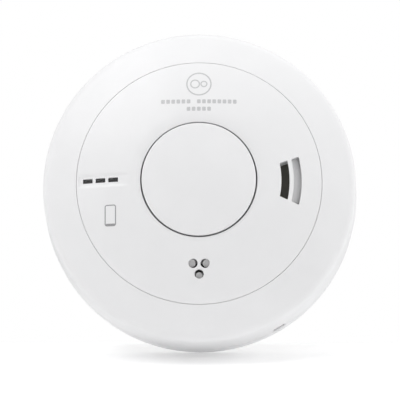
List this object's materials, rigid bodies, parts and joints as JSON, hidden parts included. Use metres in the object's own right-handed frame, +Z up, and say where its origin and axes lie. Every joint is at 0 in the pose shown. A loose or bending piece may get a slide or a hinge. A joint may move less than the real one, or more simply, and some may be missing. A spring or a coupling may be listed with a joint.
{
  "type": "carbon monoxide alarm",
  "caption": "Round domed wall-mounted carbon monoxide alarm with a large central test button, indicator slots, sounder windows and gas holes, sliding onto a base plate.",
  "frame": {"origin": "centre of the base plate back face, which lies on the wall", "axes": "+Y into the wall, so the face looks along -Y; +Z up; +X to the right as seen from the front"},
  "size_m": [0.141, 0.05, 0.141],
  "materials": {
    "white_plastic": "satin moulded white ABS with a very fine grain",
    "grey_plastic": "moulded light grey plastic",
    "black_plastic": "moulded black plastic",
    "smoked_plastic": "dark smoked polycarbonate",
    "black_rubber": "soft closed foam rubber",
    "circuit_board": "green solder mask on glass fibre board",
    "brass": "plain brass",
    "steel": "zinc plated steel",
    "tinned_copper": "tin plated contact metal",
    "cell_can": "nickel plated cell can",
    "red_film": "red film capacitor case",
    "blue_sleeve": "blue sleeve or lacquer",
    "beige_ceramic": "matt beige coated ceramic",
    "copper_winding": "enamelled copper wire winding",
    "led_green": "clear green tinted",
    "led_amber": "clear amber tinted",
    "led_red": "clear red tinted"
  },
  "bodies": {
    "base": {"base_plate": "white_plastic", "terminal_block": "grey_plastic", "terminal_cover": "white_plastic", "live_terminal": "brass", "neutral_terminal": "brass", "interconnect_terminal": "brass", "live_terminal_screw": "steel", "neutral_terminal_screw": "steel", "interconnect_terminal_screw": "steel"},
    "catch": {"release_catch": "grey_plastic"},
    "head": {"outer_cover": "white_plastic", "fascia": "white_plastic", "rear_housing": "white_plastic", "test_switch_body": "black_plastic", "main_pcb": "circuit_board", "film_capacitor": "red_film", "smoothing_capacitor_1": "blue_sleeve", "smoothing_capacitor_2": "blue_sleeve", "filter_choke": "copper_winding", "fuse_resistor": "beige_ceramic", "surge_varistor": "blue_sleeve", "co_sensor": "black_plastic", "sensor_gasket": "black_rubber", "gas_baffle": "grey_plastic", "sounder_chamber": "black_plastic", "piezo_disc": "brass", "sounder_lid": "black_plastic", "sound_deflector": "white_plastic", "light_pipe_holder": "black_plastic", "backup_cell_1": "cell_can", "backup_cell_2": "cell_can", "microcontroller": "black_plastic", "power_led": "led_green", "fault_led": "led_amber", "alarm_led": "led_red", "power_light_pipe": "smoked_plastic", "fault_light_pipe": "smoked_plastic", "alarm_light_pipe": "smoked_plastic", "live_blade": "tinned_copper", "neutral_blade": "tinned_copper", "interconnect_blade": "tinned_copper", "housing_screw_1": "steel", "pcb_screw_1": "steel", "housing_screw_2": "steel", "pcb_screw_2": "steel", "housing_screw_3": "steel", "pcb_screw_3": "steel"},
    "button": {"test_button": "white_plastic"},
    "switch_plunger": {"test_switch_plunger": "grey_plastic"}
  },
  "joints": [
    {"name": "head_slide", "type": "slide", "parent": "base", "child": "head", "axis": [-0.5, 0, 0.866], "range_m": [0, 0.014]},
    {"name": "button_press", "type": "slide", "parent": "head", "child": "button", "axis": [0, 1, 0], "range_m": [0, 0.001], "stiffness_N_per_m": 400},
    {"name": "plunger_press", "type": "slide", "parent": "head", "child": "switch_plunger", "axis": [0, 1, 0], "range_m": [0, 0.001], "stiffness_N_per_m": 200},
    {"name": "catch_flex", "type": "hinge", "parent": "base", "child": "catch", "pos_m": [0.023, -0.0055, -0.03984], "axis": [0.866, 0, 0.5], "range_deg": [0, 5], "stiffness_Nm_per_rad": 0.2}
  ],
  "couplings": [
    {"joint": "plunger_press", "follows": "button_press", "ratio": 1}
  ]
}
